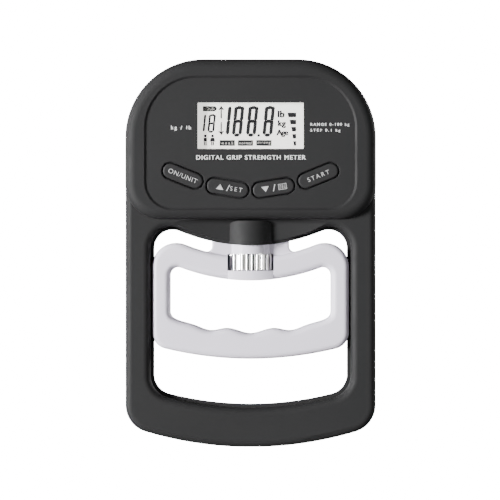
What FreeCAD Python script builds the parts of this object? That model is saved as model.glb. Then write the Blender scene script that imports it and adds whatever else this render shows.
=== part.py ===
import FreeCAD
import Part
import math
import os

from FreeCAD import Vector

# Hand dynamometer, in millimetres.  It stands upright: +Z is up, the display faces -Y,
# and X = 0 is its centre plane.  Z = 0 is the small flat under the bottom grip bar.
# A rigid loop of two shells carries the head; the light handle slides in the loop's
# rails and hangs on an adjusting screw, which pulls on the load cell in the head.
# The pieces are drawn with Y = 0 where the two shells meet, and saved with Y = 0 at
# the middle of the whole object's depth, which is the adjusting screw's axis.

# ---------------------------------------------------------------- driving dimensions
WIDTH = 125.0
HEIGHT = 193.5
TOP_CORNER = 39.2
BOTTOM_ARC = 183.7          # radius of the convex bottom edge
BOTTOM_CORNER = 14.0
FOOT_RISE = 0.13            # the bottom arc is cut off this high, as a small flat foot
WALL = 2.2

HEAD_FRONT = -17.0          # crest of the ridge round the panel
PANEL_FRONT = -16.2         # recessed panel with display and buttons
LOOP_FRONT = -12.0
SPLIT = 0.0                 # plane where the two shells meet
BACK = 13.0

OPENING_HALF = 48.5         # frame opening, measured on its guide rib
OPENING_LOW = 20.9
OPENING_LOW_ARC = 165.7
OPENING_LOW_CORNER = 10.0
OPENING_SWEEP_Z = 193.7     # centre of the arc of its top edge, which the neck follows
OPENING_HIGH_ARC = 93.0
OPENING_HIGH_CORNER = 9.2
RIB = 1.5                   # the guide rib stands this far out of the opening's wall
RIB_HALF = 4.5              # and is twice this deep

PAD_LOW = 113.7             # raised face of the head
PAD_LOW_CORNER = 17.6
PAD_ROUND = 4.9
PANEL_HALF = 51.9
PANEL_LOW, PANEL_HIGH = 119.1, 184.0
PANEL_LOW_CORNER, PANEL_HIGH_CORNER = 13.3, 25.0
PANEL_SLOPE = 1.1           # width of the sloping wall round the panel
PART_LINE = 0.4             # groove round the rear shell where the shells meet

SCREW_Y = -2.0              # axis of the adjusting screw, on X = 0
SCREW_RADIUS = 4.0          # M8 x 1.25, drawn plain
TRAVEL_UP = 4.0             # the handle also goes 13 mm down from here

NUT_RADIUS = 11.05
NUT_LOW, NUT_HIGH = 88.3, 96.2
NUT_FLUTES = 28
NUT_GAP = 0.5

HANDLE_HALF = 49.2
HANDLE_DEPTH = 10.0         # half of the handle's depth
HANDLE_LOW = 43.9
HANDLE_LOW_ARC = 181.0
HANDLE_LOW_CORNER = 8.5
HANDLE_SWEEP_Z = 182.0      # common centre of the arcs of the handle's upper bar
HANDLE_HIGH_ARC = 87.3
HANDLE_HIGH_CORNER = 12.0
HANDLE_BAR_ARC = 98.9       # lower edge of the handle's upper bar
GRIP_HALF = 40.3            # half width of the finger opening
GRIP_CORNER = 4.0

BOSS_HALF = 19.3            # middle block of the handle, which slides into the neck
BOSS_FRONT, BOSS_BACK = -6.5, 8.0
BOSS_TOP = 104.0
BOSS_FLARE = 2.6            # radius at the block's foot
BULGE_RADIUS = 10.5
REAR_BULGE_TOP = 96.2
LIP_HALF, LIP_RISE = 11.3, 2.3   # shallow swelling below the nut
NECK_BULGE_RADIUS = 12.4
NECK_CLEAR = 0.6
NECK_TOP = 110.8            # top of the neck's solid part, round the handle's block
SCOOP_RADIUS = 252.0        # hollow in the neck's front, deepest on the centre plane
SCOOP_DEEPEST = -8.5
COVE = 3.0                  # radius at its top, under the head's raised face
NECK_TUBE_FRONT = -9.7      # the neck's two screw tubes end behind the hollow

WINDOW_LENGTH, WINDOW_HEIGHT, WINDOW_Z = 52.8, 23.1, 160.2

BUTTON_HOLE = (21.8, 8.5)
BUTTON_CAP = (20.8, 7.5)
BUTTON_FLANGE = (22.8, 9.6)
BUTTONS = {                 # centre x, centre z, tilt in degrees
    "on_unit": (-33.7, 135.2, -22.0),
    "up_set": (-11.4, 129.2, -9.0),
    "down_memory": (11.4, 129.2, 9.0),
    "start": (33.7, 135.2, 22.0),
}

BOARD_FRONT, BOARD_BACK = -10.2, -8.6
BOARD_HALF, BOARD_LOW, BOARD_HIGH, BOARD_CORNER = 44.0, 122.0, 181.0, 12.0

CELL_LOW, CELL_HIGH = 140.0, 160.0
CELL_HALF_WIDTH, CELL_HALF_DEPTH = 11.0, 6.0
STUD_DEPTH = 4.0
COUPLER_LOW = 114.4
PLATE_THICK = 4.0
PLATE_HALF = 34.0
PLATE_BACK = 8.0

BATTERY_RADIUS = 5.25
BATTERY_Y = 5.6
BATTERY_Z = (171.8, 183.0)
TUB_HALF, TUB_LOW, TUB_HIGH = 26.5, 166.2, 188.6
TUB_WALL = 1.4
DOOR_HALF, DOOR_LOW, DOOR_HIGH = 28.0, 164.8, 189.8
DOOR_FRONT = 11.2
DOOR_GAP = 0.3

CASE_SCREWS = [(49.5, 171.0), (53.0, 122.0), (30.0, 114.0), (40.0, 13.5)]
BOARD_SCREWS = [(40.0, 126.0), (33.0, 177.0)]


# ---------------------------------------------------------------- small helpers
def on_circle(cx, cz, radius, degrees):
    turn = math.radians(degrees)
    return Vector(cx + radius * math.cos(turn), 0, cz + radius * math.sin(turn))


def outline(arcs):
    """Closed XZ wire along arcs (cx, cz, radius, from, to), joined by straight lines."""
    spans = [(on_circle(x, z, r, a), on_circle(x, z, r, b)) for x, z, r, a, b in arcs]
    edges = []
    for index, (cx, cz, radius, start, end) in enumerate(arcs):
        first, last = spans[index]
        middle = on_circle(cx, cz, radius, (start + end) / 2)
        edges.append(Part.Arc(first, middle, last).toShape())
        following = spans[(index + 1) % len(arcs)][0]
        if last.distanceToPoint(following) > 1e-6:
            edges.append(Part.LineSegment(last, following).toShape())
    return Part.Wire(edges)


def mirrored(arcs):
    """Arcs of the right half, bottom to top, with the left half added top to bottom."""
    left = [(-x, z, r, 180 - b, 180 - a) for x, z, r, a, b in reversed(arcs)]
    return arcs + left


def prism(wire, front, back):
    """Solid between two Y planes with the wire as its outline."""
    solid = Part.Face(wire).extrude(Vector(0, back - front, 0))
    solid.translate(Vector(0, front, 0))
    return solid


def block(x0, x1, y0, y1, z0, z1):
    return Part.makeBox(x1 - x0, y1 - y0, z1 - z0, Vector(x0, y0, z0))


def upright(radius, low, high, x=0.0, y=SCREW_Y):
    return Part.makeCylinder(radius, high - low, Vector(x, y, low))


def across(radius, front, back, x, z):
    """Cylinder along Y."""
    return Part.makeCylinder(radius, back - front, Vector(x, front, z), Vector(0, 1, 0))


def lengthwise(radius, left, right, y, z):
    """Cylinder along X."""
    return Part.makeCylinder(radius, right - left, Vector(left, y, z), Vector(1, 0, 0))


def pair(points):
    """The points on both sides of the centre plane."""
    return [(side * x, z) for x, z in points for side in (-1, 1)]


def edges_at(shape, y, wire):
    """Edges of the shape that lie in plane y, on the wire."""
    path = wire.copy()
    path.translate(Vector(0, y, 0))
    found = []
    for edge in shape.Edges:
        middle = edge.valueAt((edge.FirstParameter + edge.LastParameter) / 2)
        if abs(middle.y - y) < 1e-4 and path.distToShape(Part.Vertex(middle))[0] < 1e-3:
            found.append(edge)
    return found


def save(name, shape):
    shape.translate(Vector(0, -(HEAD_FRONT + BACK) / 2, 0))
    shape.exportStep(f"parts/{name}.step")


# ---------------------------------------------------------------- outlines
def rounded_box(half, low, high, low_corner, high_corner, inset=0.0):
    """Rounded rectangle, symmetric in X."""
    return outline(mirrored([
        (half - low_corner, low + low_corner, low_corner - inset, -90, 0),
        (half - high_corner, high - high_corner, high_corner - inset, 0, 90),
    ]))


def low_corner_centre(half, low, arc, corner):
    """Centre of a corner tangent to the side and to the bottom arc, and its angle."""
    x = half - corner
    z = low + arc - math.sqrt((arc - corner) ** 2 - x ** 2)
    return x, z, math.degrees(math.atan2(z - low - arc, x))


def frame_outline(inset=0.0):
    x, z, turn = low_corner_centre(WIDTH / 2, -FOOT_RISE, BOTTOM_ARC, BOTTOM_CORNER)
    high = (WIDTH / 2 - TOP_CORNER, HEIGHT - TOP_CORNER, TOP_CORNER - inset, 0, 90)
    right = [(x, z, BOTTOM_CORNER - inset, turn, 0), high]
    bottom = (0, BOTTOM_ARC - FOOT_RISE, BOTTOM_ARC - inset, -180 - turn, turn)
    return outline([bottom] + mirrored(right))


def below_foot():
    return block(-20, 20, LOOP_FRONT - 1, BACK + 1, -1, 0)


def swept_outline(half, low, low_arc, low_corner, sweep_z, high_arc, high_corner, grow=0.0):
    """Outline with a convex bottom and a top edge swept round (0, sweep_z)."""
    x, z, turn = low_corner_centre(half, low, low_arc, low_corner)
    high_x = half - high_corner
    rise = math.sqrt((high_arc + high_corner) ** 2 - high_x ** 2)
    lean = math.degrees(math.atan2(rise, -high_x))
    right = [
        (x, z, low_corner + grow, turn, 0),
        (high_x, sweep_z - rise, high_corner + grow, 0, lean),
    ]
    sweep = (0, sweep_z, high_arc - grow, lean - 180, -lean)
    bottom = (0, low + low_arc, low_arc + grow, -180 - turn, turn)
    both = mirrored(right)
    return outline([bottom] + both[:2] + [sweep] + both[2:])


def opening_outline(grow=0.0):
    return swept_outline(OPENING_HALF, OPENING_LOW, OPENING_LOW_ARC, OPENING_LOW_CORNER,
                         OPENING_SWEEP_Z, OPENING_HIGH_ARC, OPENING_HIGH_CORNER, grow)


def handle_outline(grow=0.0):
    return swept_outline(HANDLE_HALF, HANDLE_LOW, HANDLE_LOW_ARC, HANDLE_LOW_CORNER,
                         HANDLE_SWEEP_Z, HANDLE_HIGH_ARC, HANDLE_HIGH_CORNER, grow)


def grip_outline():
    """Finger opening of the handle: swept top edge, and finger grooves below."""
    corner_x = GRIP_HALF - GRIP_CORNER
    rise = math.sqrt((HANDLE_BAR_ARC + GRIP_CORNER) ** 2 - corner_x ** 2)
    high_z = HANDLE_SWEEP_Z - rise
    lean = math.degrees(math.atan2(rise, -corner_x))
    low_z = 67.5
    grooves = [(-28.0, 60.6), (-19.8, 58.0), (-12.0, 59.1)]
    points = grooves + [(0.0, 56.5)] + [(-x, z) for x, z in reversed(grooves)]
    left_end = on_circle(-corner_x, low_z, GRIP_CORNER, 240)
    right_end = on_circle(corner_x, low_z, GRIP_CORNER, -60)
    spline = Part.BSplineCurve()
    path = [left_end] + [Vector(x, 0, z) for x, z in points] + [right_end]
    slope = Vector(math.cos(math.radians(30)), 0, -math.sin(math.radians(30)))
    mirror_slope = Vector(slope.x, 0, -slope.z)
    spline.interpolate(Points=path, InitialTangent=slope * 12, FinalTangent=mirror_slope * 12)
    arcs = [
        (corner_x, low_z, GRIP_CORNER, -60, 0),
        (corner_x, high_z, GRIP_CORNER, 0, lean),
        (0, HANDLE_SWEEP_Z, HANDLE_BAR_ARC, lean - 180, -lean),
        (-corner_x, high_z, GRIP_CORNER, 180 - lean, 180),
        (-corner_x, low_z, GRIP_CORNER, 180, 240),
    ]
    edges = [spline.toShape()]
    spans = [(on_circle(x, z, r, a), on_circle(x, z, r, b)) for x, z, r, a, b in arcs]
    for index, (cx, cz, radius, start, end) in enumerate(arcs):
        first, last = spans[index]
        middle = on_circle(cx, cz, radius, (start + end) / 2)
        edges.append(Part.Arc(first, middle, last).toShape())
        if index + 1 < len(arcs) and last.distanceToPoint(spans[index + 1][0]) > 1e-6:
            edges.append(Part.LineSegment(last, spans[index + 1][0]).toShape())
    return Part.Wire(Part.__sortEdges__(edges))


def pill(size, front, back, x, z, tilt):
    """Flat bar with round ends, its long side tilted in the XZ plane."""
    length, width = size
    reach = (length - width) / 2
    wire = outline([(reach, 0, width / 2, -90, 90), (-reach, 0, width / 2, 90, 270)])
    solid = prism(wire, front, back)
    solid.rotate(Vector(0, 0, 0), Vector(0, 1, 0), -tilt)
    solid.translate(Vector(x, 0, z))
    return solid


# ---------------------------------------------------------------- housing
def loop_half(front, back, outer_round, inner_round):
    """One half of the loop, before it is hollowed, with its face edges rounded."""
    face = front if front < SPLIT else back
    ring = prism(frame_outline(), front, back)
    ring = ring.cut(prism(opening_outline(RIB), front - 1, back + 1))
    ring = ring.makeFillet(outer_round, edges_at(ring, face, frame_outline()))
    return ring.makeFillet(inner_round, edges_at(ring, face, opening_outline(RIB)))


def guide_rib(front, back):
    """Rib all round the opening, on which the handle is guided."""
    band = prism(opening_outline(RIB + 0.5), front, back)
    return band.cut(prism(opening_outline(), front - 1, back + 1))


def hollow(front, back):
    """Space inside the loop and the head, WALL away from the outside."""
    space = prism(frame_outline(WALL), front, back)
    return space.cut(prism(opening_outline(RIB + WALL), front - 1, back + 1))


def neck_block(front, back):
    """Solid part of the neck, which holds the handle's block."""
    half = BOSS_HALF + NECK_CLEAR + WALL
    solid = block(-half, half, front, back, 95.0, NECK_TOP)
    return solid.cut(prism(opening_outline(), front - 1, back + 1))


def neck_pocket():
    """Space that the handle's block, bulge and screw slide in."""
    half = BOSS_HALF + NECK_CLEAR
    top = BOSS_TOP + TRAVEL_UP + 0.5
    room = block(-half, half, BOSS_FRONT - NECK_CLEAR, BOSS_BACK + NECK_CLEAR, 90.0, top)
    room = room.fuse(upright(BULGE_RADIUS + NECK_CLEAR, 90.0, top))
    return room.fuse(upright(SCREW_RADIUS + 0.5, top - 1, NECK_TOP + 1))


def neck_bulge():
    """Round boss on the neck's front, over the adjusting screw."""
    wire = rounded_box(NECK_BULGE_RADIUS, 90.0, 112.9, 2.0, 6.0)
    bulge = upright(NECK_BULGE_RADIUS, 90.0, 114.0).common(prism(wire, -20.0, -7.0))
    return bulge.cut(prism(opening_outline(), -25.0, 5.0))


def web_scoop():
    """Shallow hollow in the neck's front, rounded at its top under the raised face."""
    centre = Vector(0, SCOOP_DEEPEST - SCOOP_RADIUS, 85.0)
    tool = Part.makeCylinder(SCOOP_RADIUS, PAD_LOW - centre.z, centre)
    rim = [edge for edge in tool.Edges if edge.Closed and edge.CenterOfMass.z > PAD_LOW - 1]
    tool = tool.makeFillet(COVE, rim)
    return tool.common(block(-46, 46, -30, 0, centre.z, PAD_LOW + 1))


def screw_tube(x, z, radius, front, back):
    return across(radius, front, back, x, z)


def panel_recess():
    """Space in front of the panel, with sloping walls."""
    wires = []
    for grow, y in ((0.0, PANEL_FRONT), (PANEL_SLOPE, HEAD_FRONT - 0.01)):
        wire = rounded_box(PANEL_HALF + grow, PANEL_LOW - grow, PANEL_HIGH + grow,
                           PANEL_LOW_CORNER + grow, PANEL_HIGH_CORNER + grow)
        wire.translate(Vector(0, y, 0))
        wires.append(wire)
    return Part.makeLoft(wires, True, True)


def key_hole(place):
    """Hole for one key, with a sloping mouth."""
    length, width = BUTTON_HOLE
    depth = 0.5
    floor = PANEL_FRONT + depth
    mouth = pill((length + 2 * depth, width + 2 * depth), PANEL_FRONT - 1, floor, *place)
    rim = [edge for edge in mouth.Edges if abs(edge.CenterOfMass.y - floor) < 1e-6]
    mouth = mouth.makeChamfer(depth - 0.01, rim)
    return mouth.fuse(pill(BUTTON_HOLE, PANEL_FRONT - 1, -13, *place))


def front_shell():
    shell = loop_half(LOOP_FRONT, SPLIT, 3.3, 3.5)
    shell = shell.cut(web_scoop())
    pad_wire = rounded_box(WIDTH / 2, PAD_LOW, HEIGHT, PAD_LOW_CORNER, TOP_CORNER)
    pad = prism(pad_wire, HEAD_FRONT, SPLIT - 3)
    pad = pad.makeFillet(PAD_ROUND, edges_at(pad, HEAD_FRONT, pad_wire))
    shell = shell.fuse(pad)
    shell = shell.cut(panel_recess())
    web_zone = block(-46, 46, LOOP_FRONT, -6.3, 95.0, PAD_LOW + 0.3)
    shell = shell.cut(hollow(LOOP_FRONT + WALL, SPLIT + 1).cut(web_zone))
    behind_panel = rounded_box(PANEL_HALF + 1, PANEL_LOW - 1, PANEL_HIGH + 1,
                               PANEL_LOW_CORNER + 1, PANEL_HIGH_CORNER + 1)
    shell = shell.cut(prism(behind_panel, PANEL_FRONT + WALL, LOOP_FRONT + WALL + 1))
    shell = shell.fuse([guide_rib(-RIB_HALF, SPLIT), neck_block(-8.0, SPLIT), neck_bulge()])
    tubes = [screw_tube(x, z, 3.6, NECK_TUBE_FRONT if abs(x) < 35 else LOOP_FRONT + 1, SPLIT)
             for x, z in pair(CASE_SCREWS)]
    posts = [screw_tube(x, z, 2.4, PANEL_FRONT + 1, BOARD_FRONT)
             for x, z in pair(BOARD_SCREWS)]
    shell = shell.fuse(tubes + posts)
    cuts = [screw_tube(x, z, 1.25, -9.0, SPLIT + 1) for x, z in pair(CASE_SCREWS)]
    cuts += [screw_tube(x, z, 0.9, -13.5, SPLIT + 1) for x, z in pair(BOARD_SCREWS)]
    cuts += [key_hole(place) for place in BUTTONS.values()]
    window = rounded_box(WINDOW_LENGTH / 2, WINDOW_Z - WINDOW_HEIGHT / 2,
                         WINDOW_Z + WINDOW_HEIGHT / 2, 0.5, 0.5)
    cuts += [prism(window, -20, -13), neck_pocket(), below_foot()]
    return shell.cut(cuts).removeSplitter()


def door_recess():
    """Space for the battery door and its two tongues."""
    recess = block(-DOOR_HALF - DOOR_GAP, DOOR_HALF + DOOR_GAP, DOOR_FRONT - 0.2, BACK + 1,
                   DOOR_LOW - DOOR_GAP, DOOR_HIGH + DOOR_GAP)
    tongues = [block(x - 3.5, x + 3.5, DOOR_FRONT - 0.8, 12.5, DOOR_LOW - 2.2, DOOR_LOW + 1.8)
               for x in (-15.0, 15.0)]
    return recess.fuse(tongues)


def battery_tub():
    """Box with the two cells' space still filled."""
    return block(-TUB_HALF - TUB_WALL, TUB_HALF + TUB_WALL, 0.2 - TUB_WALL, BACK - 1,
                 TUB_LOW - TUB_WALL, TUB_HIGH + TUB_WALL)


def contact_slots():
    """Slots in the tub's front wall, through which the end contacts reach the board."""
    return [block(side * 26.2 - 0.35, side * 26.2 + 0.35, -3.0, 1.0,
                  BATTERY_Z[0] - 2.2, BATTERY_Z[0] + 2.2) for side in (-1, 1)]


def rear_shell():
    shell = loop_half(SPLIT, BACK, 3.0, 2.6)
    part_line = prism(frame_outline(-1.0), SPLIT - 1, SPLIT + PART_LINE)
    part_line = part_line.cut(prism(frame_outline(PART_LINE), SPLIT - 2, BACK))
    shell = shell.cut([part_line, hollow(SPLIT - 1, BACK - WALL)])
    anchor = [block(side * 30 - 6, side * 30 + 6, SPLIT, BACK - 1, 146.0, CELL_HIGH)
              for side in (-1, 1)]
    tubes = [screw_tube(x, z, 4.3, SPLIT, BACK - 1) for x, z in pair(CASE_SCREWS)]
    shell = shell.fuse([guide_rib(SPLIT, RIB_HALF), neck_block(SPLIT, BACK - 1), battery_tub()]
                       + anchor + tubes)
    cuts = [screw_tube(x, z, 1.5, SPLIT - 1, BACK) for x, z in pair(CASE_SCREWS)]
    cuts += [screw_tube(x, z, 3.1, 7.0, BACK + 1) for x, z in pair(CASE_SCREWS)]
    cuts += [upright(1.5, 150.0, CELL_HIGH + 1, side * 30, 4.0) for side in (-1, 1)]
    cuts += [block(-TUB_HALF, TUB_HALF, 0.2, BACK + 1, TUB_LOW, TUB_HIGH)]
    cuts += [door_recess(), neck_pocket(), below_foot()] + contact_slots()
    return shell.cut(cuts).removeSplitter()


def case_screws():
    """Eight self-tapping screws, put in from the back."""
    screws = []
    for x, z in pair(CASE_SCREWS):
        shank = screw_tube(x, z, 1.25, -8.0, 7.0)
        head = screw_tube(x, z, 2.8, 7.0, 9.0)
        drive = screw_tube(x, z, 1.1, 8.0, 9.5)
        screws.append(shank.fuse(head).cut(drive))
    return Part.makeCompound(screws)


# ---------------------------------------------------------------- display and board
def lcd_window():
    """Clear window: a raised face in the panel's hole and a flange behind it."""
    face = rounded_box(WINDOW_LENGTH / 2 - 0.1, WINDOW_Z - WINDOW_HEIGHT / 2 + 0.1,
                       WINDOW_Z + WINDOW_HEIGHT / 2 - 0.1, 0.4, 0.4)
    flange = rounded_box(WINDOW_LENGTH / 2 + 2, WINDOW_Z - WINDOW_HEIGHT / 2 - 2,
                         WINDOW_Z + WINDOW_HEIGHT / 2 + 2, 1.5, 1.5)
    back = PANEL_FRONT + WALL
    return prism(face, PANEL_FRONT + 0.2, back).fuse(prism(flange, back, back + 1.2))


def lcd_panel():
    """Two glass plates; the lower one carries the contact ledges."""
    front = PANEL_FRONT + WALL + 1.3
    half = WINDOW_LENGTH / 2 + 1.4
    upper = block(-half, half, front, front + 0.75, WINDOW_Z - 12.4, WINDOW_Z + 12.4)
    lower = block(-half, half, front + 0.75, front + 1.5, WINDOW_Z - 13.6, WINDOW_Z + 13.6)
    return upper.fuse(lower)


def zebra_strips():
    """Two elastic strips that join the glass to the board."""
    front = PANEL_FRONT + WALL + 2.8
    return Part.makeCompound([
        block(-26, 26, front, BOARD_FRONT, z - 1.2, z + 1.2)
        for z in (WINDOW_Z - 12.2, WINDOW_Z + 12.2)
    ])


def main_board():
    wire = rounded_box(BOARD_HALF, BOARD_LOW, BOARD_HIGH, 4.0, BOARD_CORNER)
    board = prism(wire, BOARD_FRONT, BOARD_BACK)
    return board.cut([screw_tube(x, z, 1.1, -12, -7) for x, z in pair(BOARD_SCREWS)])


def board_screws():
    screws = []
    for x, z in pair(BOARD_SCREWS):
        shank = screw_tube(x, z, 0.9, -13.0, BOARD_BACK)
        head = screw_tube(x, z, 1.8, BOARD_BACK, BOARD_BACK + 1.3)
        screws.append(shank.fuse(head))
    return Part.makeCompound(screws)


def board_chips():
    """Controller, bridge amplifier, memory, crystal and four capacitors on the back."""
    sizes = [  # centre x, centre z, width, height, thickness
        (-33.0, 152.0, 10.0, 10.0, 1.4),
        (30.0, 152.0, 9.0, 5.0, 1.3),
        (-33.0, 137.0, 5.0, 4.0, 1.2),
        (-22.0, 135.0, 8.0, 3.2, 2.4),
        (22.0, 138.0, 2.0, 1.3, 0.9),
        (26.0, 138.0, 2.0, 1.3, 0.9),
        (22.0, 134.0, 2.0, 1.3, 0.9),
        (26.0, 134.0, 2.0, 1.3, 0.9),
    ]
    return Part.makeCompound([
        block(x - w / 2, x + w / 2, BOARD_BACK, BOARD_BACK + t, z - h / 2, z + h / 2)
        for x, z, w, h, t in sizes
    ])


def button_switches():
    """Bodies of the four tact switches, each open for its plunger."""
    bodies = []
    for x, z, tilt in BUTTONS.values():
        body = block(-3, 3, BOARD_FRONT - 2.8, BOARD_FRONT, -3, 3)
        body = body.cut(across(1.75, BOARD_FRONT - 4, BOARD_FRONT - 1.1, 0, 0))
        body.rotate(Vector(0, 0, 0), Vector(0, 1, 0), -tilt)
        body.translate(Vector(x, 0, z))
        bodies.append(body)
    return Part.makeCompound(bodies)


def switch_plunger(x, z):
    return across(1.6, BOARD_FRONT - 3.5, BOARD_FRONT - 2.0, x, z)


def button_cap(x, z, tilt):
    """Key with a softly rounded face and a flange that keeps it in the panel."""
    front = PANEL_FRONT - 0.35
    body = pill(BUTTON_CAP, front, BOARD_FRONT - 3.5, x, z, tilt)
    rim = [edge for edge in body.Edges if abs(edge.CenterOfMass.y - front) < 1e-6]
    body = body.makeFillet(0.8, rim)
    flange = pill(BUTTON_FLANGE, PANEL_FRONT + WALL + 0.1, BOARD_FRONT - 2.7, x, z, tilt)
    room = block(-3.6, 3.6, BOARD_FRONT - 3.5, BOARD_FRONT - 2, -3.6, 3.6)
    room.rotate(Vector(0, 0, 0), Vector(0, 1, 0), -tilt)
    room.translate(Vector(x, 0, z))
    return body.fuse(flange).cut(room).removeSplitter()


# ---------------------------------------------------------------- load path
def load_cell():
    """S-shaped cell: two slots from opposite sides leave a bending web between them."""
    y0, y1 = SCREW_Y - CELL_HALF_DEPTH, SCREW_Y + CELL_HALF_DEPTH
    half = CELL_HALF_WIDTH
    cell = block(-half, half, y0, y1, CELL_LOW, CELL_HIGH)
    middle = (CELL_LOW + CELL_HIGH) / 2
    cell = cell.cut([
        block(-half - 1, half - 4, y0 - 1, y1 + 1, middle - 5.0, middle - 3.8),
        block(4 - half, half + 1, y0 - 1, y1 + 1, middle + 3.8, middle + 5.0),
        across(2.6, y0 - 1, y1 + 1, 0, middle),
        upright(3.0, CELL_LOW - 1, CELL_LOW + STUD_DEPTH),
        upright(3.0, CELL_HIGH - STUD_DEPTH, CELL_HIGH + 1),
    ])
    return cell.removeSplitter()


def strain_gauges():
    """Foil gauges beside the cell's middle hole, two in front and two behind."""
    middle = (CELL_LOW + CELL_HIGH) / 2
    faces = (SCREW_Y - CELL_HALF_DEPTH - 0.15, SCREW_Y + CELL_HALF_DEPTH)
    return Part.makeCompound([
        block(x - 1.6, x + 1.6, face, face + 0.15, middle - 2.4, middle + 2.4)
        for x in (-5.5, 5.5) for face in faces
    ])


def thread_coupler():
    """Hexagonal coupler: threaded for the screw below, with a stud into the cell above."""
    reach = 13.0 / math.sqrt(3)
    corners = [Vector(reach * math.cos(math.radians(a)), SCREW_Y
                      + reach * math.sin(math.radians(a)), COUPLER_LOW)
               for a in range(0, 361, 60)]
    height = CELL_LOW - COUPLER_LOW
    sleeve = Part.Face(Part.makePolygon(corners)).extrude(Vector(0, 0, height))
    sleeve = sleeve.fuse(upright(3.0, CELL_LOW - 1, CELL_LOW + STUD_DEPTH))
    return sleeve.cut(upright(SCREW_RADIUS + 0.05, COUPLER_LOW - 1, CELL_LOW - 0.4))


def countersunk(radius, head_radius, head_high, low, x, y):
    """Vertical screw with a conical head whose top is at head_high."""
    sink = head_radius - radius
    cone = Part.makeCone(radius, head_radius, sink, Vector(x, y, head_high - sink))
    return upright(radius, low, head_high, x, y).fuse(cone)


def anchor_plate():
    """Steel bar that carries the cell and rests on the rear shell's two blocks."""
    top = CELL_HIGH + PLATE_THICK
    plate = block(-PLATE_HALF, PLATE_HALF, -7.6, PLATE_BACK, CELL_HIGH, top)
    sides = [edge for edge in plate.Edges if edge.Length == PLATE_THICK]
    plate = plate.makeFillet(3.0, sides)
    holes = [countersunk(3.0, 5.2, top, CELL_HIGH - 1, 0, SCREW_Y)]
    holes += [countersunk(1.5, 3.0, top, CELL_HIGH - 1, side * 30, 4.0) for side in (-1, 1)]
    return plate.cut(holes)


def anchor_bolt():
    return countersunk(3.0, 5.2, CELL_HIGH + PLATE_THICK, CELL_HIGH - STUD_DEPTH, 0, SCREW_Y)


def anchor_screws():
    return Part.makeCompound([
        countersunk(1.5, 3.0, CELL_HIGH + PLATE_THICK, 150.0, side * 30, 4.0)
        for side in (-1, 1)
    ])


def bent_lead(points, bend, radius):
    """Tube along two straight runs joined by one tangent arc."""
    start, corner, end = points
    into = (corner - start).normalize()
    away = (end - corner).normalize()
    first = corner - into * bend
    last = corner + away * bend
    middle = corner + (away - into) * (bend * (1 - math.sqrt(0.5)))
    path = Part.Wire([
        Part.LineSegment(start, first).toShape(),
        Part.Arc(first, middle, last).toShape(),
        Part.LineSegment(last, end).toShape(),
    ])
    section = Part.Wire(Part.Circle(start, into, radius).toShape())
    return path.makePipeShell([section], True, False)


def cell_lead():
    """Four-core lead from the cell's side to the board."""
    z = (CELL_LOW + CELL_HIGH) / 2
    points = [Vector(-CELL_HALF_WIDTH, SCREW_Y, z), Vector(-18.0, SCREW_Y, z),
              Vector(-18.0, BOARD_BACK, z)]
    return bent_lead(points, 3.5, 0.8)


# ---------------------------------------------------------------- adjusting screw, handle
def adjusting_rod():
    """M8 screw that turns with the nut; its tip runs in the coupler."""
    tip = CELL_LOW - 0.5 - TRAVEL_UP
    rod = upright(SCREW_RADIUS, 85.0, tip)
    ends = [edge for edge in rod.Edges if edge.Closed]
    return rod.makeChamfer(0.8, ends)


def adjusting_nut():
    """Wheel with rounded flutes for the fingers, fixed on the rod."""
    wheel = upright(NUT_RADIUS, NUT_LOW, NUT_HIGH)
    rims = [edge for edge in wheel.Edges if edge.Closed]
    wheel = wheel.makeChamfer(0.4, rims)
    reach = NUT_RADIUS + 0.35
    flutes = []
    for index in range(NUT_FLUTES):
        place = on_circle(0, SCREW_Y, reach, 360.0 * index / NUT_FLUTES)
        flutes.append(upright(0.85, NUT_LOW - 1, NUT_HIGH + 1, place.x, place.z))
    return wheel.cut(flutes + [upright(SCREW_RADIUS, NUT_LOW - 1, NUT_HIGH + 1)])


def boss():
    """Block that slides into the neck, flared at its foot into the bar's top edge."""
    reach = BOSS_HALF + BOSS_FLARE
    flare_z = HANDLE_SWEEP_Z - math.sqrt((HANDLE_HIGH_ARC - BOSS_FLARE) ** 2 - reach ** 2)
    lean = math.degrees(math.atan2(flare_z - HANDLE_SWEEP_Z, reach))
    foot = on_circle(reach, flare_z, BOSS_FLARE, lean)
    wire = outline(mirrored([
        (foot.x - 1, 91.0, 1.0, -90, 0),
        (reach, flare_z, BOSS_FLARE, 360 + lean, 180),
        (BOSS_HALF - 1.5, BOSS_TOP - 1.5, 1.5, 0, 90),
    ]))
    solid = prism(wire, BOSS_FRONT, BOSS_BACK)
    for face in (BOSS_FRONT, BOSS_BACK):
        sides = [edge for edge in edges_at(solid, face, wire)
                 if edge.CenterOfMass.z > foot.z and abs(edge.CenterOfMass.x) > BOSS_HALF - 0.2]
        solid = solid.makeFillet(1.0, sides)
    return solid


def bulges(grip):
    """Swellings of the upper bar round the nut: above it, below it and behind it."""
    upper = upright(BULGE_RADIUS, NUT_LOW, BOSS_TOP)
    sweep = (LIP_HALF ** 2 + LIP_RISE ** 2) / (2 * LIP_RISE)
    lip = upright(sweep, 80.0, NUT_LOW, 0, sweep - HANDLE_DEPTH - LIP_RISE)
    lip = lip.common(block(-LIP_HALF, LIP_HALF, -20, -5, 80.0, NUT_LOW))
    rear = upright(NUT_RADIUS + NUT_GAP + 1.6, 80.0, REAR_BULGE_TOP)
    rear = rear.common(block(-20, 20, 0, 20, 80.0, REAR_BULGE_TOP))
    opening = prism(grip, -20, 20)
    return [upper, lip.cut(opening), rear.cut(opening)]


def nut_pocket():
    """Space for the nut, open to the front."""
    low, high = NUT_LOW - 0.25, NUT_HIGH + 0.1
    half = NUT_RADIUS + NUT_GAP
    return upright(half, low, high).fuse(block(-half, half, -20, SCREW_Y, low, high))


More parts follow.
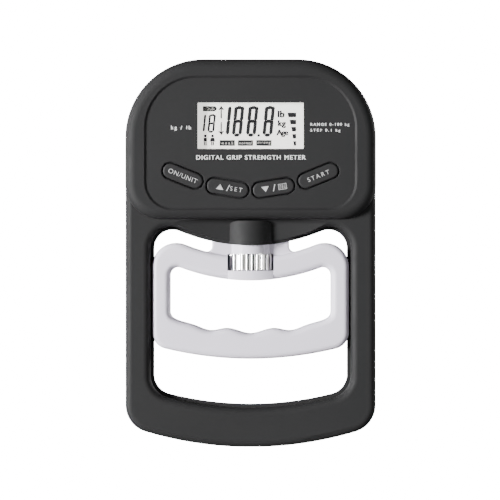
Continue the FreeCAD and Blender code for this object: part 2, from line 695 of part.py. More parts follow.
def handle():
    """Moulded handle: a swept frame with finger grooves and a block for the screw."""
    outer = handle_outline()
    frame = prism(outer, -HANDLE_DEPTH, HANDLE_DEPTH)
    grip = grip_outline()
    frame = frame.cut(prism(grip, -HANDLE_DEPTH - 1, HANDLE_DEPTH + 1))
    for face in (-HANDLE_DEPTH, HANDLE_DEPTH):
        frame = frame.makeFillet(2.8, edges_at(frame, face, outer))
        frame = frame.makeFillet(3.0, edges_at(frame, face, grip))
    frame = frame.fuse([boss()] + bulges(grip))
    groove_core = swept_outline(HANDLE_HALF, HANDLE_LOW, HANDLE_LOW_ARC, HANDLE_LOW_CORNER,
                                HANDLE_SWEEP_Z, HANDLE_HIGH_ARC - 20,
                                HANDLE_HIGH_CORNER, -1.1)
    half_groove = RIB_HALF + 0.4
    groove = block(-60, 60, -half_groove, half_groove, 30.0, 120.0)
    groove = groove.cut(prism(groove_core, -20, 20))
    bore = upright(SCREW_RADIUS + 0.3, 84.6, BOSS_TOP + 1)
    return frame.cut([groove, nut_pocket(), bore]).removeSplitter()


# ---------------------------------------------------------------- batteries
def batteries():
    """Two AAA cells, the upper one turned round."""
    cells = []
    for z, side in zip(BATTERY_Z, (1, -1)):
        can = lengthwise(BATTERY_RADIUS, -19.0, 24.3, BATTERY_Y, z)
        cell = can.fuse(lengthwise(1.9, 24.3, 25.5, BATTERY_Y, z))
        if side < 0:
            cell.rotate(Vector(0, BATTERY_Y, z), Vector(0, 0, 1), 180)
        cells.append(cell)
    return Part.makeCompound(cells)


def battery_springs():
    """U-shaped leaf springs against the cells' flat ends."""
    thick, bend, half_width = 0.4, 4.0, 3.0
    springs = []
    for z, side in zip(BATTERY_Z, (1, -1)):
        bow_x = -19.0 - bend
        outer = upright(bend, z - half_width, z + half_width, bow_x, BATTERY_Y)
        inner = upright(bend - thick, z - half_width, z + half_width, bow_x, BATTERY_Y)
        front_half = block(bow_x, 0, 0, 12, z - half_width, z + half_width)
        spring = outer.cut(inner).common(front_half)
        for y in (BATTERY_Y - bend, BATTERY_Y + bend - thick):
            leg = block(-26.0, bow_x, y, y + thick, z - half_width, z + half_width)
            spring = spring.fuse(leg)
        spring = spring.removeSplitter()
        if side < 0:
            spring.rotate(Vector(0, BATTERY_Y, z), Vector(0, 0, 1), 180)
        springs.append(spring)
    return Part.makeCompound(springs)


def battery_contacts():
    """Three contact plates: one at each lower end, and a bridge at one upper end."""
    low, high = BATTERY_Z
    plates = []
    for side in (-1, 1):
        x0 = side * 26.2 - 0.2
        end = block(x0, x0 + 0.4, 1.0, 9.8, low - 4.2, low + 4.2)
        tab = block(x0, x0 + 0.4, -3.0, 1.0, low - 2.0, low + 2.0)
        top = block(x0, x0 + 0.4, 1.0, 9.8, high - 4.2, high + 4.2)
        plates += [end.fuse(tab), top]
    return Part.makeCompound(plates)


def battery_leads():
    """Two wires from the contacts' tabs to the board."""
    return Part.makeCompound([
        across(0.6, BOARD_BACK, -3.0, side * 26.2, BATTERY_Z[0]) for side in (-1, 1)
    ])


def battery_door():
    """Lid with two tongues at its lower edge and a thumb hollow at the upper one."""
    lid = block(-DOOR_HALF, DOOR_HALF, DOOR_FRONT, BACK, DOOR_LOW, DOOR_HIGH)
    tongues = [block(x - 3, x + 3, DOOR_FRONT, DOOR_FRONT + 1.0, DOOR_LOW - 1.4, DOOR_LOW + 1)
               for x in (-15.0, 15.0)]
    thumb = Part.makeSphere(22.0, Vector(0, BACK + 21.2, DOOR_HIGH - 4.5))
    return lid.fuse(tongues).cut(thumb).removeSplitter()


# ---------------------------------------------------------------- all parts
def main():
    os.makedirs("parts", exist_ok=True)
    single = [
        front_shell, rear_shell, case_screws, lcd_window, lcd_panel, zebra_strips,
        main_board, board_screws, board_chips, button_switches, load_cell, strain_gauges,
        thread_coupler, anchor_plate, anchor_bolt, anchor_screws, cell_lead,
        adjusting_rod, adjusting_nut, handle, batteries, battery_springs,
        battery_contacts, battery_leads, battery_door,
    ]
    for make in single:
        save(make.__name__, make())
    for name, (x, z, tilt) in BUTTONS.items():
        save(f"button_{name}", button_cap(x, z, tilt))
        save(f"plunger_{name}", switch_plunger(x, z))


main()
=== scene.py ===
import math

import bmesh
import bpy
from mathutils import Matrix, Vector


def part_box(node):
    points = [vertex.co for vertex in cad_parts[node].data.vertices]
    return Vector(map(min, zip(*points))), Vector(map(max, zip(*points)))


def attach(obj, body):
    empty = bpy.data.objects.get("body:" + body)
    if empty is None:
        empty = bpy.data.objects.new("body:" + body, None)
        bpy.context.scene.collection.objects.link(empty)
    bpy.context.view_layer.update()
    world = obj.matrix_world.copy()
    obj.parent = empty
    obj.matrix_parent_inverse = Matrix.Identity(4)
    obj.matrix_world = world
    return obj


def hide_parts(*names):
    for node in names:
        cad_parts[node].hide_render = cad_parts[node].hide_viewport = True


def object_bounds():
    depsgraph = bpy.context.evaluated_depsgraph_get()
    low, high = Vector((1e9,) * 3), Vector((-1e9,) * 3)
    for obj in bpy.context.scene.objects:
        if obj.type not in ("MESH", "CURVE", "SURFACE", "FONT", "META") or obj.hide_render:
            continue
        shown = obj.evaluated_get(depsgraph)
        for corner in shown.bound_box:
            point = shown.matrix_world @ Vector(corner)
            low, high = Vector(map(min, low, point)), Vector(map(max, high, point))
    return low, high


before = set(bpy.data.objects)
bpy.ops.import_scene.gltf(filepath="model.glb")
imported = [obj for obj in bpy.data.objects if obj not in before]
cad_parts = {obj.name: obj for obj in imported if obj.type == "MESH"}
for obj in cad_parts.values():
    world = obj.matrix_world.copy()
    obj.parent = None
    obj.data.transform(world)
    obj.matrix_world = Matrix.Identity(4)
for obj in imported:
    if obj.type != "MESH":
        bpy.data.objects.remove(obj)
cad_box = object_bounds()

MM = 0.001
KEYS = ("on_unit", "up_set", "down_memory", "start")
KEY_TILT = {"on_unit": -22.0, "up_set": -9.0, "down_memory": 9.0, "start": 22.0}


# ---------------------------------------------------------------- material helpers
class Nodes:
    """A material's node tree with a Principled shader, built one node at a time."""

    def __init__(self, name):
        self.material = bpy.data.materials.new(name)
        self.material.use_nodes = True
        self.tree = self.material.node_tree
        self.shader = self.tree.nodes["Principled BSDF"]
        self.place = self.add("ShaderNodeTexCoord").outputs["Object"]

    def add(self, kind, **settings):
        node = self.tree.nodes.new(kind)
        for key, value in settings.items():
            setattr(node, key, value)
        return node

    def link(self, source, target):
        self.tree.links.new(source, target)

    def noise(self, scale, detail=3.0, stretch=(1, 1, 1), distortion=0.0):
        """Noise over the object's own coordinates, stretched along an axis if wanted."""
        mapping = self.add("ShaderNodeMapping")
        mapping.inputs["Scale"].default_value = stretch
        self.link(self.place, mapping.inputs["Vector"])
        noise = self.add("ShaderNodeTexNoise")
        noise.inputs["Scale"].default_value = scale
        noise.inputs["Detail"].default_value = detail
        noise.inputs["Distortion"].default_value = distortion
        self.link(mapping.outputs["Vector"], noise.inputs["Vector"])
        return noise.outputs["Fac"]

    def ramp(self, source, low, high, start=0.3, end=0.7):
        """Maps a value to a range of numbers."""
        node = self.add("ShaderNodeMapRange")
        node.inputs["From Min"].default_value = start
        node.inputs["From Max"].default_value = end
        node.inputs["To Min"].default_value = low
        node.inputs["To Max"].default_value = high
        self.link(source, node.inputs["Value"])
        return node.outputs["Result"]

    def colour(self, source, first, second):
        """Colour between two, by a value."""
        mix = self.add("ShaderNodeMix", data_type="RGBA")
        mix.inputs["A"].default_value = (*first, 1)
        mix.inputs["B"].default_value = (*second, 1)
        self.link(source, mix.inputs["Factor"])
        self.link(mix.outputs["Result"], self.shader.inputs["Base Color"])
        return mix

    def bump(self, source, strength, distance):
        node = self.add("ShaderNodeBump")
        node.inputs["Strength"].default_value = strength
        node.inputs["Distance"].default_value = distance
        self.link(source, node.inputs["Height"])
        self.link(node.outputs["Normal"], self.shader.inputs["Normal"])

    def fixed(self, **values):
        for key, value in values.items():
            self.shader.inputs[key.replace("_", " ")].default_value = value


def shade(colour, factor):
    return tuple(channel * factor for channel in colour)


def moulded(name, colour, roughness, grain=2600.0, depth=0.00003, spread=0.05):
    """Moulded plastic: fine spark-eroded grain, faint mottling and handling marks."""
    m = Nodes(name)
    mottle = m.noise(38.0, 4.0)
    m.colour(m.ramp(mottle, 0, 1), shade(colour, 1 - spread), shade(colour, 1 + spread))
    rubbed = m.noise(95.0, 6.0, distortion=0.6)
    m.link(m.ramp(rubbed, roughness - 0.05, roughness + 0.06), m.shader.inputs["Roughness"])
    m.bump(m.noise(grain, 2.0), 0.35, depth)
    m.fixed(Specular_IOR_Level=0.17)
    return m.material


def metal(name, colour, roughness, stretch=(1, 1, 1), scale=900.0, depth=0.00001):
    """Metal with fine lines along one direction."""
    m = Nodes(name)
    lines = m.noise(scale, 5.0, stretch)
    m.colour(m.ramp(lines, 0, 1), shade(colour, 0.9), shade(colour, 1.04))
    m.link(m.ramp(lines, roughness * 0.75, roughness * 1.3), m.shader.inputs["Roughness"])
    m.bump(lines, 0.2, depth)
    m.fixed(Metallic=1.0)
    return m.material


def glossy(name, colour, roughness=0.18, spread=0.06, scale=260.0, depth=0.00001):
    m = Nodes(name)
    cloud = m.noise(scale, 3.0)
    m.colour(m.ramp(cloud, 0, 1), shade(colour, 1 - spread), shade(colour, 1 + spread))
    m.link(m.ramp(cloud, roughness * 0.8, roughness * 1.25), m.shader.inputs["Roughness"])
    m.bump(cloud, 0.15, depth)
    return m.material


def clear_window():
    """Hard-coated clear plastic, nearly invisible face on."""
    m = Nodes("clear_window")
    haze = m.noise(420.0, 4.0)
    m.colour(m.ramp(haze, 0, 1), (0.02, 0.02, 0.022), (0.03, 0.03, 0.032))
    m.link(m.ramp(haze, 0.03, 0.07), m.shader.inputs["Roughness"])
    m.fixed(Alpha=0.05, IOR=1.49)
    m.material.surface_render_method = "BLENDED"
    return m.material


def display_with_painted_glow():
    """Pale reflective display with a painted glow: emission that brightens it against the shade
    of its recess, not a backlight.
    """
    m = Nodes("lcd_glass")
    haze = m.noise(300.0, 3.0)
    m.colour(m.ramp(haze, 0, 1), (0.74, 0.72, 0.68), (0.77, 0.75, 0.71))
    m.link(m.ramp(haze, 0.25, 0.35), m.shader.inputs["Roughness"])
    # painted glow: emission stands in for the light that the recess shades off the display
    m.fixed(Emission_Color=(1.0, 0.975, 0.92, 1), Emission_Strength=1.6)
    return m.material


def circuit_board():
    """Green solder mask over faint copper tracks."""
    m = Nodes("circuit_board")
    tracks = m.add("ShaderNodeTexBrick", offset=0.35)
    tracks.inputs["Scale"].default_value = 420.0
    tracks.inputs["Mortar Size"].default_value = 0.035
    m.link(m.place, tracks.inputs["Vector"])
    m.colour(tracks.outputs["Fac"], (0.012, 0.10, 0.035), (0.03, 0.2, 0.07))
    m.link(m.ramp(m.noise(300.0), 0.25, 0.4), m.shader.inputs["Roughness"])
    m.bump(tracks.outputs["Fac"], 0.3, 0.00003)
    return m.material


def dress_frame():
    """Materials for the CAD nodes that stay as they are."""
    housing = moulded("housing_plastic", (0.0165, 0.0165, 0.017), 0.66)
    key = moulded("key_plastic", (0.020, 0.020, 0.0205), 0.55, grain=3400.0, depth=0.00002)
    handle = moulded("handle_plastic", (0.76, 0.725, 0.82), 0.34, grain=3000.0,
                     depth=0.00002, spread=0.012)
    zinc = metal("zinc_steel", (0.55, 0.55, 0.53), 0.32)
    chrome = metal("chrome", (0.68, 0.675, 0.66), 0.12, stretch=(1, 1, 0.05), scale=1500.0,
                   depth=0.000004)
    nickel = metal("nickel_contact", (0.74, 0.71, 0.64), 0.22)
    black = glossy("chip_epoxy", (0.018, 0.018, 0.020), 0.35)
    looks = {
        "front_shell": housing,
        "rear_shell": housing,
        "battery_door": moulded("door_plastic", (0.023, 0.023, 0.024), 0.50),
        "handle": handle,
        "adjusting_nut": chrome,
        "lcd_window": clear_window(),
        "lcd_panel": display_with_painted_glow(),
        "main_board": circuit_board(),
        "board_chips": black,
        "button_switches": glossy("switch_body", (0.03, 0.03, 0.032), 0.4),
        "zebra_strips": glossy("zebra_rubber", (0.60, 0.22, 0.17), 0.6),
        "load_cell": metal("cell_aluminium", (0.78, 0.79, 0.80), 0.3, stretch=(0.1, 1, 1)),
        "strain_gauges": glossy("gauge_foil", (0.55, 0.33, 0.08), 0.25, spread=0.3),
        "cell_lead": glossy("lead_jacket", (0.35, 0.02, 0.02), 0.45),
        "battery_leads": glossy("battery_lead", (0.30, 0.02, 0.02), 0.45),
        "batteries": glossy("battery_sleeve", (0.06, 0.07, 0.09), 0.28, spread=0.2),
        "battery_springs": nickel,
        "battery_contacts": nickel,
    }
    looks.update({name: zinc for name in (
        "board_screws", "anchor_screws", "anchor_bolt", "anchor_plate", "thread_coupler")})
    for name in KEYS:
        looks["button_" + name] = key
        looks["plunger_" + name] = looks["button_switches"]
    for name, material in looks.items():
        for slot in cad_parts[name].material_slots:
            slot.material = material


# ---------------------------------------------------------------- mesh helpers
def new_piece(name, mesh, material, body):
    """A piece of the object, riding on a CAD body, with the one material given."""
    piece = bpy.data.objects.new(name, mesh)
    bpy.context.collection.objects.link(piece)
    piece.data.materials.clear()
    piece.data.materials.append(material)
    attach(piece, body)
    return piece


class Lettering:
    """Outlines of words in the built-in font, with their left end at x = 0."""

    def __init__(self, mesh):
        left = min(v.co.x for v in mesh.vertices)
        self.points = [(v.co.x - left, v.co.y) for v in mesh.vertices]
        self.faces = [tuple(face.vertices) for face in mesh.polygons]
        self.length = max(x for x, _ in self.points)
        self.low = min(z for _, z in self.points)
        self.high = max(z for _, z in self.points)


def lettering(words, spacing, weight):
    curve = bpy.data.curves.new("lettering", "FONT")
    curve.body = words
    curve.offset = weight
    curve.space_character = spacing
    holder = bpy.data.objects.new("lettering", curve)
    bpy.context.collection.objects.link(holder)
    graph = bpy.context.evaluated_depsgraph_get()
    mesh = bpy.data.meshes.new_from_object(holder.evaluated_get(graph))
    bpy.data.objects.remove(holder)
    result = Lettering(mesh)
    bpy.data.meshes.remove(mesh)
    return result


class Print:
    """Thin printed shapes on a plane that faces -Y, gathered into one mesh."""

    def __init__(self, y, thickness=0.04 * MM):
        self.y = y
        self.thickness = thickness
        self.mesh = bmesh.new()

    def shape(self, outline):
        """Fills one closed outline of (x, z) points in metres, given anticlockwise."""
        front = self.y - self.thickness
        near = [self.mesh.verts.new((x, front, z)) for x, z in outline]
        far = [self.mesh.verts.new((x, self.y, z)) for x, z in outline]
        self.mesh.faces.new(near)
        count = len(outline)
        for i in range(count):
            j = (i + 1) % count
            self.mesh.faces.new((near[j], near[i], far[i], far[j]))

    def bar(self, x0, x1, z0, z1):
        self.shape([(x0, z0), (x1, z0), (x1, z1), (x0, z1)])

    def frame_bar(self, x0, x1, z0, z1, line):
        """Outline of a rectangle, as four bars."""
        self.bar(x0, x1, z0, z0 + line)
        self.bar(x0, x1, z1 - line, z1)
        self.bar(x0, x0 + line, z0 + line, z1 - line)
        self.bar(x1 - line, x1, z0 + line, z1 - line)

    def disc(self, x, z, radius, steps=20):
        turn = 2 * math.pi / steps
        self.shape([(x + radius * math.cos(i * turn), z + radius * math.sin(i * turn))
                    for i in range(steps)])

    def text(self, words, x, z, height, width, weight=0.012, bold=0.0, lift=0.0):
        """Words centred on (x, z), spaced out to that width, their ink that high.

        Bold words are printed twice, that far apart, the second layer on the first.
        """
        if bold:
            width -= bold
            self.text(words, x + bold / 2, z, height, width, weight, lift=0.02 * MM)
            x -= bold / 2
        natural, wide = lettering(words, 1.0, weight), lettering(words, 1.5, weight)
        grow = height / (natural.high - natural.low)
        missing = width / grow - natural.length
        spacing = 1 + 0.5 * missing / max(wide.length - natural.length, 1e-6)
        flat = lettering(words, min(max(spacing, 0.9), 1.8), weight)
        stretch = width / flat.length
        middle = (flat.low + flat.high) / 2
        front = self.y - self.thickness - lift
        verts = [self.mesh.verts.new((x + (px - flat.length / 2) * stretch, front,
                                      z + (pz - middle) * grow)) for px, pz in flat.points]
        for face in flat.faces:
            self.mesh.faces.new([verts[i] for i in face])

    def turned(self, x, z, tilt):
        """Turns everything printed so far about (x, z)."""
        bmesh.ops.rotate(self.mesh, verts=self.mesh.verts[:], cent=(x, self.y, z),
                         matrix=Matrix.Rotation(math.radians(-tilt), 3, "Y"))

    def done(self, name, material, body):
        mesh = bpy.data.meshes.new(name)
        self.mesh.normal_update()
        self.mesh.to_mesh(mesh)
        self.mesh.free()
        return new_piece(name, mesh, material, body)


# ---------------------------------------------------------------- printing
def ink(name, colour, roughness=0.5):
    """Screen-printed ink, a little uneven."""
    m = Nodes(name)
    m.colour(m.ramp(m.noise(1800.0, 2.0), 0, 1), shade(colour, 0.9), shade(colour, 1.05))
    m.link(m.ramp(m.noise(900.0), roughness - 0.08, roughness + 0.08),
           m.shader.inputs["Roughness"])
    return m.material


def panel_print(white):
    """Title under the display and the small notes beside it."""
    panel_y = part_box("lcd_window")[0].y - 0.2 * MM
    page = Print(panel_y)
    window_z = (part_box("lcd_window")[0].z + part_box("lcd_window")[1].z) / 2
    page.text("DIGITAL GRIP STRENGTH METER", 0.2 * MM, window_z - 15.8 * MM, 2.3 * MM,
              54.6 * MM, bold=0.14 * MM)
    page.text("kg / lb", -34.6 * MM, window_z - 1.2 * MM, 2.4 * MM, 10.0 * MM, bold=0.14 * MM)
    page.text("RANGE 0-180 kg", 39.4 * MM, window_z + 0.4 * MM, 1.9 * MM, 19.4 * MM,
              bold=0.1 * MM)
    page.text("STEP 0.1 kg", 37.2 * MM, window_z - 2.5 * MM, 1.9 * MM, 14.9 * MM,
              bold=0.1 * MM)
    page.done("panel_print", white, "housing")


def key_middle(name):
    low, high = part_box("button_" + name)
    return (low.x + high.x) / 2, (low.z + high.z) / 2, low.y


def key_legend(name, grey):
    """Legend of one key, printed along it."""
    x, z, y = key_middle(name)
    page = Print(y)
    capital = 2.15 * MM
    if name == "on_unit":
        page.text("ON/UNIT", x, z, 2.3 * MM, 15.2 * MM, weight=0.0)
    elif name == "start":
        page.text("START", x, z, capital, 11.4 * MM, weight=0.0)
    elif name == "up_set":
        triangle(page, x - 3.9 * MM, z, 1.9 * MM, 1.4 * MM)
        page.text("/", x + 0.2 * MM, z, 3.3 * MM, 1.7 * MM)
        page.text("SET", x + 4.3 * MM, z, capital, 6.1 * MM, weight=0.0)
    else:
        triangle(page, x - 4.1 * MM, z, 1.9 * MM, -1.4 * MM)
        page.text("/", x + 0.3 * MM, z, 3.3 * MM, 1.7 * MM)
        record_sheet(page, x + 4.5 * MM, z)
    page.turned(x, z, KEY_TILT[name])
    page.done("legend_" + name, grey, "key_" + name)


def triangle(page, x, z, half_base, half_height):
    """Arrowhead that points up, or down if its height is negative."""
    points = [(x - half_base, z - half_height), (x + half_base, z - half_height),
              (x, z + half_height)]
    page.shape(points if half_height > 0 else points[::-1])


def record_sheet(page, x, z):
    """Open record book with ruled lines, for stored results."""
    half_width, half_height, line = 2.1 * MM, 1.45 * MM, 0.25 * MM
    page.frame_bar(x - half_width, x + half_width, z - half_height, z + half_height, line)
    page.bar(x - line / 2, x + line / 2, z - half_height, z + half_height)
    for side in (-1, 1):
        for step in (-1, 0, 1):
            middle, level = x + side * half_width / 2, z + step * 0.62 * MM
            page.bar(middle - 0.6 * MM, middle + 0.6 * MM, level - 0.1 * MM, level + 0.1 * MM)


# ---------------------------------------------------------------- display
SEGMENTS = {"1": "bc", "8": "abcdefg"}
SEGMENT_GAP = 0.09 * MM
SLANT = 0.1                 # lean of the digits, sideways per unit of height


def seven_segment(page, digit, x, z, width, height, thick):
    """One slanted seven-segment digit, with (x, z) at its lower left corner."""
    half, tip, gap = height / 2, thick / 2, SEGMENT_GAP

    def lean(points):
        return [(x + px + SLANT * pz, z + pz) for px, pz in points]

    def level(pz):
        left, right = gap + tip, width - gap - tip
        return [(left, pz), (left + tip, pz - tip), (right - tip, pz - tip), (right, pz),
                (right - tip, pz + tip), (left + tip, pz + tip)]

    def tall(px, low):
        down, up = low + gap, low + half - thick / 2 - gap + tip
        return [(px, down), (px + tip, down + tip), (px + tip, up - tip), (px, up),
                (px - tip, up - tip), (px - tip, down + tip)]

    shapes = {
        "a": level(height - tip), "g": level(half), "d": level(tip),
        "f": tall(tip, half - gap), "b": tall(width - tip, half - gap),
        "e": tall(tip, tip), "c": tall(width - tip, tip),
    }
    for letter in SEGMENTS[digit]:
        page.shape(lean(shapes[letter]))


def arrow(page, x, z_tip, z_tail):
    """Thin open arrow from z_tail to z_tip."""
    way = 1 if z_tip > z_tail else -1
    line, half_head, head = 0.32 * MM, 1.5 * MM, 1.9 * MM
    page.bar(x - line, x + line, min(z_tip, z_tail), max(z_tip, z_tail))
    for side in (-1, 1):
        stroke = [(x, z_tip), (x + side * half_head, z_tip - way * head),
                  (x + side * half_head - side * 2.6 * line, z_tip - way * head),
                  (x, z_tip - way * 3.2 * line)]
        page.shape(stroke if side * way < 0 else stroke[::-1])


def person(page, x, z, height, skirt):
    """Plain pictogram: round head, body and two legs."""
    head = height * 0.13
    page.disc(x, z + height - head, head)
    top, hip = z + height * 0.70, z + height * 0.36
    wide = height * (0.25 if skirt else 0.15)
    page.shape([(x - wide, hip), (x + wide, hip), (x + height * 0.15, top),
                (x - height * 0.15, top)])
    for side in (-1, 1):
        middle = x + side * height * 0.075
        page.bar(middle - height * 0.05, middle + height * 0.05, z, hip - 0.1 * MM)


def boxed_word(page, paper, words, x0, x1, z0, z1):
    """Dark box with the word left light."""
    page.bar(x0, x1, z0, z1)
    paper.text(words, (x0 + x1) / 2, (z0 + z1) / 2, (z1 - z0) * 0.52, (x1 - x0) * 0.84,
               weight=0.02)


def display(dark, light):
    """Everything that the display shows with all its segments on."""
    low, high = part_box("lcd_panel")
    middle_z = (low.z + high.z) / 2
    page = Print(low.y, 0.03 * MM)
    paper = Print(page.y - page.thickness, 0.02 * MM)

    def up(value):
        return middle_z + value * MM

    for digit, x in (("1", -15.85), ("8", -9.5), ("8", -2.45), ("8", 5.75)):
        seven_segment(page, digit, x * MM, up(-5.4), 4.95 * MM, 15.4 * MM, 1.7 * MM)
    page.disc(4.0 * MM, up(-4.7), 0.7 * MM)
    for digit, x in (("1", -26.4), ("8", -21.6)):
        seven_segment(page, digit, x * MM, up(-3.4), 3.4 * MM, 9.3 * MM, 1.0 * MM)
    person(page, -22.6 * MM, up(-9.7), 5.4 * MM, False)
    person(page, -19.0 * MM, up(-9.7), 5.4 * MM, True)
    arrow(page, -14.65 * MM, up(9.9), up(3.7))
    arrow(page, -14.65 * MM, up(-4.5), up(1.9))
    boxed_word(page, paper, "HOLD", -23.8 * MM, -17.6 * MM, up(7.3), up(9.8))
    page.shape([(-17.7 * MM, up(7.3)), (-16.7 * MM, up(8.55)), (-17.7 * MM, up(9.8))])
    for words, x0, x1 in (("weak", -15.4, -7.9), ("normal", -6.3, 1.2), ("strong", 2.8, 10.4)):
        boxed_word(page, paper, words, x0 * MM, x1 * MM, up(-9.9), up(-7.1))
    page.text("lb", 15.2 * MM, up(5.9), 3.4 * MM, 3.5 * MM, weight=0.02, bold=0.3 * MM)
    page.text("kg", 15.6 * MM, up(0.9), 3.9 * MM, 4.1 * MM, weight=0.02, bold=0.3 * MM)
    page.text("Age", 15.8 * MM, up(-3.7), 3.6 * MM, 6.0 * MM, weight=0.02, bold=0.3 * MM)
    for step, length in enumerate((4.3, 3.3, 2.5, 2.0, 1.5)):
        top, right = 6.6 - 3.55 * step, 22.7 * MM
        lean = 0.45 * MM
        page.shape([(right - length * MM + lean, up(top - 2.25)), (right, up(top - 2.25)),
                    (right, up(top)), (right - length * MM, up(top))])
    page.done("lcd_segments", dark, "housing")
    paper.done("lcd_box_words", light, "housing")


# ---------------------------------------------------------------- metal details
def thread_radius(turns, crest, root):
    """Radius of a triangular thread with small flats, by the fraction of a turn."""
    wave = abs((turns % 1.0) * 2 - 1)
    flat = min(max((wave - 0.12) / 0.76, 0.0), 1.0)
    return root + (crest - root) * flat


def threaded_rod(material):
    """M8 x 1.25 screw with a helical thread, in place of the plain one."""
    low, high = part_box("adjusting_rod")
    crest = (high.x - low.x) / 2
    pitch, depth, end_bevel = 1.25 * MM, 0.68 * MM, 0.8 * MM
    around, per_pitch = 40, 10
    rows = round((high.z - low.z) / pitch * per_pitch)
    mesh = bmesh.new()
    rings = []
    for row in range(rows + 1):
        z = low.z + (high.z - low.z) * row / rows
        cone = crest - end_bevel + min(z - low.z, high.z - z)
        ring = []
        for step in range(around):
            turn = step / around
            radius = min(thread_radius(z / pitch - turn, crest, crest - depth), cone)
            angle = turn * 2 * math.pi
            ring.append(mesh.verts.new((radius * math.cos(angle), radius * math.sin(angle), z)))
        rings.append(ring)
    for lower, upper in zip(rings, rings[1:]):
        for i in range(around):
            j = (i + 1) % around
            mesh.faces.new((lower[i], lower[j], upper[j], upper[i]))
    mesh.faces.new(rings[0][::-1])
    mesh.faces.new(rings[-1])
    data = bpy.data.meshes.new("threaded_rod")
    mesh.to_mesh(data)
    mesh.free()
    piece = new_piece("threaded_rod", data, material, "adjusting_screw")
    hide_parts("adjusting_rod")


def lathe(mesh, profile, place, around=28):
    """Turns (radius, y) points about the Y axis through place, closed at both ends."""
    rings = []
    for radius, y in profile:
        rings.append([mesh.verts.new((place.x + radius * math.cos(2 * math.pi * i / around),
                                      place.y + y,
                                      place.z + radius * math.sin(2 * math.pi * i / around)))
                      for i in range(around)])
    for first, second in zip(rings, rings[1:]):
        for i in range(around):
            j = (i + 1) % around
            mesh.faces.new((first[i], first[j], second[j], second[i]))
    mesh.faces.new(rings[0][::-1])
    mesh.faces.new(rings[-1])


def cross_cutter(place, depth):
    """Tapered cross that cuts a Phillips recess, its mouth at place facing +Y."""
    mesh = bmesh.new()
    for wide, tall in ((1.7, 0.45), (0.45, 1.7)):
        mouth = [(-wide, -tall), (wide, -tall), (wide, tall), (-wide, tall)]
        rings = []
        for grow, y in ((1.0, 0.5 * MM), (0.55, -depth)):
            rings.append([mesh.verts.new((place.x + px * grow * MM, place.y + y,
                                          place.z + pz * grow * MM)) for px, pz in mouth])
        for i in range(4):
            j = (i + 1) % 4
            mesh.faces.new((rings[0][i], rings[0][j], rings[1][j], rings[1][i]))
        mesh.faces.new(rings[0][::-1])
        mesh.faces.new(rings[1])
    bmesh.ops.recalc_face_normals(mesh, faces=mesh.faces)
    data = bpy.data.meshes.new("cross_cutter")
    mesh.to_mesh(data)
    mesh.free()
    cutter = bpy.data.objects.new("cross_cutter", data)
    bpy.context.collection.objects.link(cutter)
    return cutter


CASE_SCREWS = ((49.5, 171.0), (53.0, 122.0), (30.0, 114.0), (40.0, 13.5))


def recessed_screw(profile, place, mouth_y):
    """Mesh of one screw turned from its profile, with a cross recess in its head."""
    blank = bmesh.new()
    lathe(blank, profile, place)
    bmesh.ops.recalc_face_normals(blank, faces=blank.faces)
    data = bpy.data.meshes.new("one_screw")
    blank.to_mesh(data)
    blank.free()
    screw = bpy.data.objects.new("one_screw", data)
    bpy.context.collection.objects.link(screw)
    cutter = cross_cutter(Vector((place.x, mouth_y, place.z)), 1.2 * MM)
    cut = screw.modifiers.new("recess", "BOOLEAN")
    cut.object = cutter
    cut.solver = "EXACT"
    cut.use_self = True
    graph = bpy.context.evaluated_depsgraph_get()
    result = bpy.data.meshes.new_from_object(screw.evaluated_get(graph))
    bpy.data.objects.remove(screw)
    bpy.data.objects.remove(cutter)
    return result


def case_screw_heads(material):
    """Pan-head screws with cross recesses, in place of the plain ones."""
    low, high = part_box("case_screws")
    joined = bmesh.new()
    head_low = high.y - 2.0 * MM
    profile = [(0.5 * MM, low.y), (1.25 * MM, low.y + 1.2 * MM), (1.25 * MM, head_low),
               (2.8 * MM, head_low), (2.8 * MM, head_low + 0.9 * MM),
               (2.45 * MM, head_low + 1.5 * MM), (1.7 * MM, head_low + 1.9 * MM),
               (0.4 * MM, high.y)]
    for x, z in CASE_SCREWS:
        for side in (-1, 1):
            single = recessed_screw(profile, Vector((side * x * MM, 0, z * MM)), high.y)
            joined.from_mesh(single)
            bpy.data.meshes.remove(single)
    mesh = bpy.data.meshes.new("case_screw_heads")
    joined.to_mesh(mesh)
    joined.free()
    piece = new_piece("case_screw_heads", mesh, material, "housing")
    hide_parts("case_screws")


# ---------------------------------------------------------------- studio
WHITE = 17.0                # strength at which the surround shows as pure white


def pale_floor():
    """White ground, seen by the camera only."""
    reach = 6.0
    mesh = bpy.data.meshes.new("floor")
    mesh.from_pydata([(-reach, -reach, 0), (reach, -reach, 0), (reach, reach, 0),
                      (-reach, reach, 0)], [], [(0, 1, 2, 3)])
    floor = bpy.data.objects.new("floor", mesh)
    bpy.context.collection.objects.link(floor)
    m = Nodes("pale_floor")
    m.fixed(Base_Color=(0.9, 0.9, 0.9, 1), Roughness=0.8, Emission_Color=(1, 1, 1, 1),
            Emission_Strength=WHITE)
    floor.data.materials.append(m.material)
    floor.visible_diffuse = False
    floor.visible_glossy = False


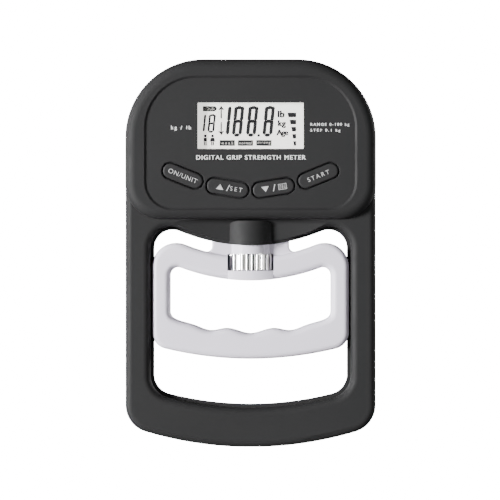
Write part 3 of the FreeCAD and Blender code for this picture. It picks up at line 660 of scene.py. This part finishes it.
def surround():
    """World that the camera sees as white, and that glows from the lower left front."""
    world = bpy.data.worlds.new("surround")
    bpy.context.scene.world = world
    world.use_nodes = True
    tree = world.node_tree
    tree.nodes.clear()
    out = tree.nodes.new("ShaderNodeOutputWorld")
    mix = tree.nodes.new("ShaderNodeMixShader")
    seen = tree.nodes.new("ShaderNodeBackground")
    seen.inputs["Strength"].default_value = WHITE
    seen.inputs["Color"].default_value = (1, 1, 1, 1)
    glow = tree.nodes.new("ShaderNodeBackground")
    glow.inputs["Strength"].default_value = 0.45
    place = tree.nodes.new("ShaderNodeTexCoord")
    toward = tree.nodes.new("ShaderNodeVectorMath")
    toward.operation = "DOT_PRODUCT"
    toward.inputs[1].default_value = Vector((-0.5, -0.4, -0.75)).normalized()
    side = tree.nodes.new("ShaderNodeMapRange")
    side.inputs["From Min"].default_value = -0.3
    side.inputs["From Max"].default_value = 0.9
    side.inputs["To Min"].default_value = 0.06
    side.inputs["To Max"].default_value = 1.0
    path = tree.nodes.new("ShaderNodeLightPath")
    tree.links.new(place.outputs["Generated"], toward.inputs[0])
    tree.links.new(toward.outputs["Value"], side.inputs["Value"])
    tree.links.new(side.outputs["Result"], glow.inputs["Color"])
    tree.links.new(path.outputs["Is Camera Ray"], mix.inputs["Fac"])
    tree.links.new(glow.outputs["Background"], mix.inputs[1])
    tree.links.new(seen.outputs["Background"], mix.inputs[2])
    tree.links.new(mix.outputs["Shader"], out.inputs["Surface"])


LIGHTS = [                  # name, place, width, height, power
    ("left", (-1.5, -0.95, 0.0), 0.40, 1.1, 245.0),
    ("right", (0.9, -1.5, 0.15), 0.5, 0.8, 3.0),
    ("far right", (1.5, -0.45, 0.1), 0.5, 0.9, 8.0),
    ("back left", (-1.3, 1.1, 0.45), 0.7, 0.7, 18.0),
    ("back right", (1.3, 1.1, 0.45), 0.7, 0.7, 18.0),
]


def lights():
    """Area lights, all aimed at the object's middle height."""
    target = Vector((0, 0, (cad_box[0].z + cad_box[1].z) / 2))
    for name, place, width, height, power in LIGHTS:
        data = bpy.data.lights.new(name, "AREA")
        data.shape = "RECTANGLE"
        data.size = width
        data.size_y = height
        data.energy = power
        lamp = bpy.data.objects.new(name, data)
        lamp.location = place
        lamp.rotation_mode = "QUATERNION"
        lamp.rotation_quaternion = (target - Vector(place)).to_track_quat("-Z", "Y")
        bpy.context.collection.objects.link(lamp)


def camera():
    """Long lens, square on to the front, level with the object's middle."""
    data = bpy.data.cameras.new("camera")
    distance = 1.5
    view_width = 251.0 * MM
    data.sensor_width = 36.0
    data.lens = data.sensor_width * distance / view_width
    data.clip_end = 50.0
    cam = bpy.data.objects.new("camera", data)
    middle = Vector((-0.3 * MM, 0, 98.35 * MM))
    cam.location = middle + Vector((0, -distance, 0))
    cam.rotation_euler = (math.radians(90), 0, 0)
    bpy.context.collection.objects.link(cam)
    bpy.context.scene.camera = cam


camera()
dress_frame()
white_ink = ink("white_ink", (0.68, 0.68, 0.68))
grey_ink = ink("grey_ink", (0.45, 0.45, 0.45))
panel_print(white_ink)
for key in KEYS:
    key_legend(key, grey_ink)
display(ink("segment_dark", (0.012, 0.012, 0.014), 0.4),
        ink("segment_light", (0.6, 0.58, 0.54)))
threaded_rod(metal("rod_steel", (0.56, 0.56, 0.54), 0.24, stretch=(1, 1, 6)))
case_screw_heads(metal("screw_zinc", (0.50, 0.50, 0.48), 0.3))
pale_floor()
surround()
lights()
